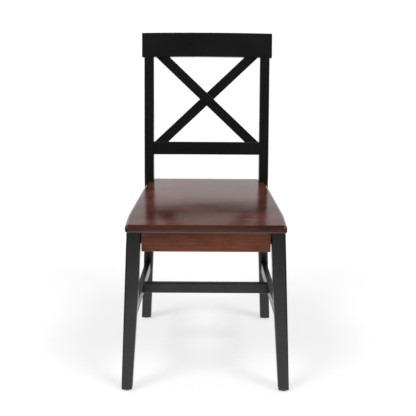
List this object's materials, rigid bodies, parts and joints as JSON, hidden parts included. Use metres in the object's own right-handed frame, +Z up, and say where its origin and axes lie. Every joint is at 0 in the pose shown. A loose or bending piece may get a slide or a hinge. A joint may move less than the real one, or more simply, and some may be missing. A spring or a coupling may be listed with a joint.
{
  "type": "cross back dining chair",
  "caption": "Wooden dining chair with a black lacquered frame, crossed slats in the back, a brown board seat on aprons and an H stretcher between splayed legs.",
  "frame": {"origin": "on the floor, under the middle of the chair's overall box", "axes": "+Z up, the front of the seat faces -Y, +X to the right seen from the front"},
  "size_m": [0.4466, 0.5504, 0.9016],
  "materials": {
    "black_frame": "satin black lacquer over closed-grain hardwood",
    "brown_seat": "walnut-brown stain under satin clear lacquer",
    "block_wood": "bare sawn hardwood",
    "dowel_wood": "bare turned beech",
    "zinc_steel": "zinc plated",
    "glide_plastic": "moulded, matte"
  },
  "bodies": {
    "root": {"front_left_leg": "black_frame", "front_right_leg": "black_frame", "rear_left_leg": "black_frame", "rear_right_leg": "black_frame", "crest_rail": "black_frame", "lower_back_rail": "black_frame", "falling_slat": "black_frame", "rising_slat": "black_frame", "left_stretcher": "black_frame", "right_stretcher": "black_frame", "cross_stretcher": "black_frame", "seat": "brown_seat", "front_apron": "brown_seat", "rear_apron": "brown_seat", "left_apron": "brown_seat", "right_apron": "brown_seat", "front_left_block": "block_wood", "front_right_block": "block_wood", "rear_left_block": "block_wood", "rear_right_block": "block_wood", "crest_dowels": "dowel_wood", "rail_dowels": "dowel_wood", "front_apron_dowels": "dowel_wood", "rear_apron_dowels": "dowel_wood", "side_apron_dowels": "dowel_wood", "hanger_bolts": "zinc_steel", "hanger_nuts": "zinc_steel", "hanger_washers": "zinc_steel", "block_screws": "zinc_steel", "seat_screws": "zinc_steel", "front_left_glide": "glide_plastic", "front_right_glide": "glide_plastic", "rear_left_glide": "glide_plastic", "rear_right_glide": "glide_plastic"}
  },
  "joints": []
}
